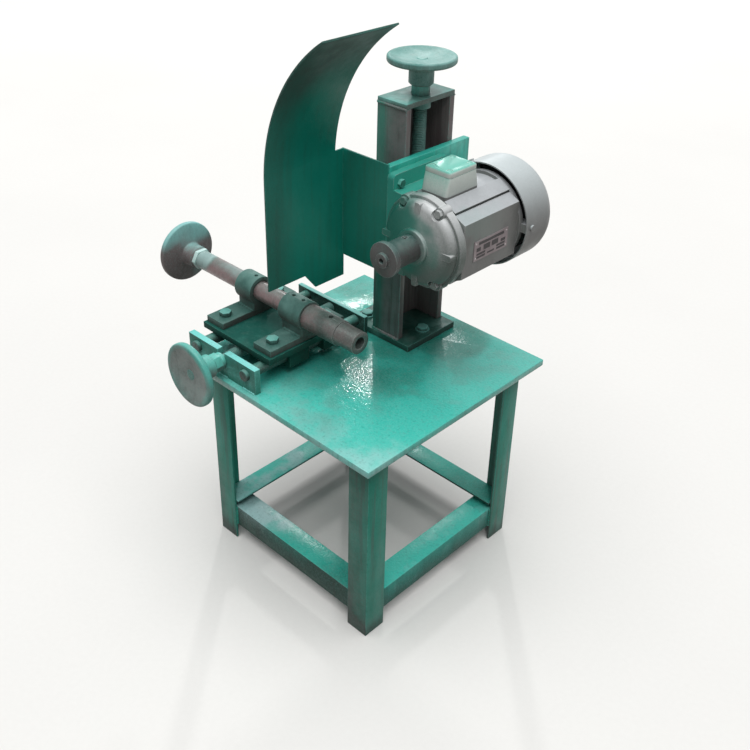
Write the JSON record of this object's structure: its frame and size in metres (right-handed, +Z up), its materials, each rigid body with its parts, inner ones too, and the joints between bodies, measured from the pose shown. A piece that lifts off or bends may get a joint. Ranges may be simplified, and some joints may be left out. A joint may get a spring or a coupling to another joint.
{
  "type": "knife grinding machine",
  "caption": "Small knife grinding machine on an angle-iron stand: a motor head on a screw-raised column, a spark guard and a hand-fed cross slide with a sliding, turning work bar.",
  "frame": {"origin": "on the floor, under the middle of the stand's four legs", "axes": "+Z up; the operator stands at -Y and looks along +Y; +Y runs along the motor shaft from the wheel hub to the fan; +X points from the column to the motor"},
  "size_m": [0.4151, 0.3501, 0.667],
  "materials": {
    "stand_paint": "brushed enamel over rolled angle, worn dull",
    "table_paint": "glossy sprayed enamel",
    "column_paint": "primer grey with enamel overspray",
    "bolt_paint": "light enamel",
    "slide_paint": "enamel over flat bar",
    "machined_steel": "turned steel, oiled",
    "knob_paint": "enamel over dark moulding",
    "head_paint": "enamel over steel plate",
    "guard_paint": "enamel over thin sheet",
    "nut_bronze": "turned bronze",
    "motor_paint": "silver paint with green overspray",
    "terminal_paint": "pale enamel",
    "plate_metal": "bare plate",
    "core_steel": "laminations",
    "winding_copper": "varnished wire",
    "bearing_steel": "ground steel",
    "fan_plastic": "moulded",
    "hub_paint": "enamel over turned steel",
    "bar_steel": "turned steel with overspray"
  },
  "bodies": {
    "stand": {"leg_front_left": "stand_paint", "leg_front_right": "stand_paint", "leg_rear_left": "stand_paint", "leg_rear_right": "stand_paint", "stretchers_front_rear": "stand_paint", "stretchers_sides": "stand_paint", "table_plate": "table_paint", "column_base_plate": "table_paint", "column_channel": "column_paint", "column_cap_plate": "column_paint", "column_base_bolts": "bolt_paint", "column_base_nuts": "bolt_paint", "slide_front_plate": "slide_paint", "slide_rear_plate": "slide_paint", "guide_rod_left": "machined_steel", "guide_rod_right": "machined_steel"},
    "elevating_screw_body": {"elevating_screw": "machined_steel", "elevating_thrust_collar": "machined_steel", "elevating_lock_nut": "bolt_paint", "elevating_knob": "knob_paint"},
    "motor_head": {"motor_plate": "head_paint", "slide_block": "head_paint", "slide_block_screws": "machined_steel", "elevating_nut": "nut_bronze", "spark_guard": "guard_paint", "motor_housing": "motor_paint", "motor_front_shield": "motor_paint", "motor_rear_shield": "motor_paint", "motor_fan_cover": "motor_paint", "fan_cover_screws": "bolt_paint", "stator_core": "core_steel", "stator_windings": "winding_copper", "motor_bearings": "bearing_steel", "terminal_box": "terminal_paint", "terminal_box_lid": "terminal_paint", "terminal_box_screws": "bolt_paint", "name_plate": "plate_metal", "motor_tie_bolts": "machined_steel", "motor_foot_bolts": "bolt_paint"},
    "motor_rotor_body": {"motor_shaft": "machined_steel", "motor_rotor": "core_steel", "motor_fan": "fan_plastic", "wheel_hub": "hub_paint", "hub_set_screw": "machined_steel"},
    "feed_screw_body": {"feed_screw": "machined_steel", "feed_collar": "slide_paint", "feed_lock_nut": "bolt_paint", "feed_knob": "knob_paint"},
    "saddle": {"saddle_plate": "slide_paint", "saddle_bushes": "slide_paint", "feed_nut": "nut_bronze", "pillow_left": "slide_paint", "pillow_right": "slide_paint", "pillow_bolts": "bolt_paint"},
    "work_sleeve_body": {"work_sleeve": "bar_steel"},
    "work_spindle_body": {"work_spindle": "bar_steel", "tool_socket": "bar_steel", "bar_lock_nut": "bolt_paint", "bar_knob": "knob_paint"}
  },
  "joints": [
    {"name": "head_slide", "type": "slide", "parent": "stand", "child": "motor_head", "axis": [0, 0, 1], "range_m": [-0.018, 0.045]},
    {"name": "elevating_screw_turn", "type": "hinge", "parent": "stand", "child": "elevating_screw_body", "pos_m": [-0.009, 0.088, 0.58], "axis": [0, 0, -1], "range_deg": [-3241, 8101]},
    {"name": "rotor_spin", "type": "hinge", "parent": "motor_head", "child": "motor_rotor_body", "pos_m": [0.0778, 0, 0.447], "axis": [0, 1, 0], "continuous": true},
    {"name": "saddle_slide", "type": "slide", "parent": "stand", "child": "saddle", "axis": [0, 1, 0], "range_m": [-0.012, 0.028]},
    {"name": "feed_screw_turn", "type": "hinge", "parent": "stand", "child": "feed_screw_body", "pos_m": [-0.092, -0.15, 0.286], "axis": [0, -1, 0], "range_deg": [-2161, 5041]},
    {"name": "sleeve_slide", "type": "slide", "parent": "saddle", "child": "work_sleeve_body", "axis": [1, 0, 0], "range_m": [0, 0.07]},
    {"name": "spindle_turn", "type": "hinge", "parent": "work_sleeve_body", "child": "work_spindle_body", "pos_m": [0, -0.06, 0.335], "axis": [1, 0, 0], "continuous": true}
  ],
  "couplings": [
    {"joint": "elevating_screw_turn", "follows": "head_slide", "rad_per_m": 3141.6},
    {"joint": "feed_screw_turn", "follows": "saddle_slide", "rad_per_m": 3141.6}
  ]
}
